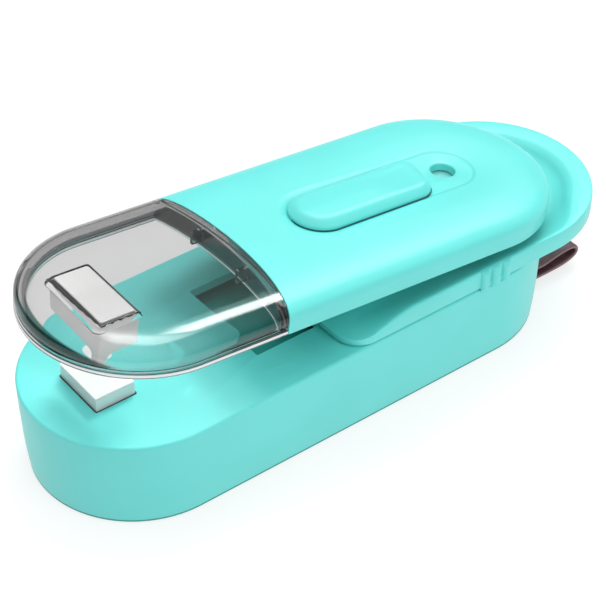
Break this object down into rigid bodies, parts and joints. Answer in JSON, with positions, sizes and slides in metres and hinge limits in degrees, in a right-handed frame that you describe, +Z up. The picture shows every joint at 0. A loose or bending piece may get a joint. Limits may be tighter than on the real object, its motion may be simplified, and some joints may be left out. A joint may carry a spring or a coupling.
{
  "type": "handheld bag heat sealer",
  "caption": "Handheld bag heat sealer: rounded base with a heated block, sprung arm with a clear pressing head, sliding lock tray, thumb slider and leather loop.",
  "frame": {"origin": "centre of the base's flat bottom face", "axes": "+X from the sealing head at the front to the hinge at the rear, +Y to the left looking forward from the rear, +Z up"},
  "size_m": [0.1304, 0.0456, 0.0418],
  "materials": {
    "turquoise": "moulded turquoise plastic, soft gloss",
    "clear": "smoky clear plastic, polished",
    "white_film": "white non-stick film",
    "steel": "bright steel",
    "screw_steel": "plated steel",
    "silicone": "pale silicone",
    "leather": "dark brown leather",
    "black_plastic": "black moulded plastic",
    "board_green": "circuit board",
    "brass": "bright brass strip",
    "cell_sleeve": "printed cell sleeve, left plain",
    "wire_red": "red wire insulation",
    "wire_black": "black wire insulation",
    "lens": "milky lens"
  },
  "bodies": {
    "base": {"base_housing": "turquoise", "battery_1": "cell_sleeve", "battery_2": "cell_sleeve", "battery_lead_1": "wire_red", "battery_lead_2": "wire_black", "battery_spring_1": "steel", "battery_spring_2": "steel", "battery_tray": "black_plastic", "bottom_cover": "turquoise", "bracket_screw_1": "screw_steel", "bracket_screw_2": "screw_steel", "capacitor": "steel", "circuit_board": "board_green", "contact_bridge": "brass", "contact_negative": "brass", "contact_positive": "brass", "control_chip": "black_plastic", "cover_screw_1": "screw_steel", "cover_screw_2": "screw_steel", "cover_screw_3": "screw_steel", "cover_screw_4": "screw_steel", "heater_carrier": "black_plastic", "heater_lead_1": "wire_red", "heater_lead_2": "wire_black", "heater_spring_1": "steel", "heater_spring_2": "steel", "hinge_bracket": "steel", "hinge_pin": "screw_steel", "press_switch": "black_plastic", "slide_guide": "turquoise", "strap_pin": "screw_steel"},
    "slide": {"lock_slide": "turquoise", "slide_retainer": "black_plastic", "retainer_screw_1": "screw_steel", "retainer_screw_2": "screw_steel"},
    "arm": {"arm_shell": "turquoise", "arm_bottom_plate": "turquoise", "clear_head": "clear", "press_block": "steel", "silicone_pad": "silicone", "mesh_screen": "steel", "arm_board": "board_green", "slide_switch": "black_plastic", "indicator_led": "lens", "indicator_lens": "lens", "hinge_spring": "steel", "arm_screw_1": "screw_steel", "arm_screw_2": "screw_steel", "arm_screw_3": "screw_steel", "arm_screw_4": "screw_steel"},
    "thumb": {"thumb_slider": "turquoise", "slider_clip": "black_plastic", "slider_screw": "screw_steel", "switch_knob": "silicone"},
    "heater": {"heater_block": "steel", "heating_element": "brass", "heater_film": "white_film", "switch_button": "silicone"},
    "door": {"battery_door": "turquoise"},
    "strap": {"strap_loop": "leather"}
  },
  "joints": [
    {"name": "arm_hinge", "type": "hinge", "parent": "base", "child": "arm", "pos_m": [0.04625, 0, 0.02763], "axis": [0, 1, 0], "range_deg": [-6.3, 0], "stiffness_Nm_per_rad": 0.1, "springref_deg": 8.59},
    {"name": "lock_slide", "type": "slide", "parent": "base", "child": "slide", "axis": [-1, 0, 0], "range_m": [0, 0.0134]},
    {"name": "thumb_slide", "type": "slide", "parent": "arm", "child": "thumb", "axis": [0.9945, 0, -0.1045], "range_m": [0, 0.0075]},
    {"name": "heater_press", "type": "slide", "parent": "base", "child": "heater", "axis": [0, 0, -1], "range_m": [0, 0.0008], "stiffness_N_per_m": 600, "springref_m": -0.001, "deforming": ["heater_spring_1", "heater_spring_2"]},
    {"name": "battery_door", "type": "hinge", "parent": "base", "child": "door", "pos_m": [0.0032, 0, 0.0001], "axis": [0, 1, 0], "range_deg": [0, 75]},
    {"name": "strap_swing", "type": "hinge", "parent": "base", "child": "strap", "pos_m": [0.0534, 0, 0.003], "axis": [0, -1, 0], "range_deg": [0, 25]}
  ]
}
